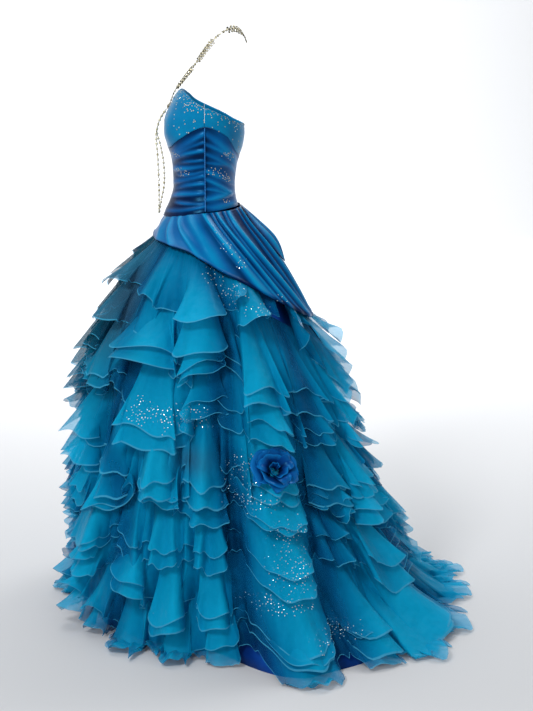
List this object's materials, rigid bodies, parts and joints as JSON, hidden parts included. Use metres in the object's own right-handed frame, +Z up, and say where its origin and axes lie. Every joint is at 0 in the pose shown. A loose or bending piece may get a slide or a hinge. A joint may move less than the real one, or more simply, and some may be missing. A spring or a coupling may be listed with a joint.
{
  "type": "ballroom gown",
  "caption": "Halter ball gown with a gathered satin bodice, swept satin overskirt, tiered organza flounces, a satin rosette and a short train.",
  "frame": {"origin": "middle of the natural waist, where the wearer's body holds the gown", "axes": "+Z up, -Y towards the gown's front, +X towards the wearer's left; the train lies towards +Y"},
  "size_m": [1.3094, 1.1601, 1.5182],
  "materials": {
    "satin": "satin",
    "organza": "sheer, two layers",
    "jewels": "polished",
    "zip": "matt"
  },
  "bodies": {
    "root": {"yoke_front": "satin", "yoke_back_left": "satin", "yoke_back_right": "satin", "midriff_front": "satin", "midriff_back_left": "satin", "midriff_back_right": "satin", "piping_left": "satin", "piping_right": "satin", "back_zip": "zip", "halter": "jewels", "front_jewel": "jewels", "bead_strand": "jewels", "underskirt_front_upper": "satin", "underskirt_front_left": "satin", "underskirt_front_right": "satin", "underskirt_back": "satin", "overskirt_left": "satin", "overskirt_right": "satin", "bustle": "satin", "flounce_1": "organza", "flounce_2": "organza", "flounce_3": "organza", "flounce_4": "organza", "flounce_5": "organza", "flounce_6": "organza", "flounce_7": "organza", "flounce_8": "organza", "rosette": "satin"}
  },
  "joints": []
}
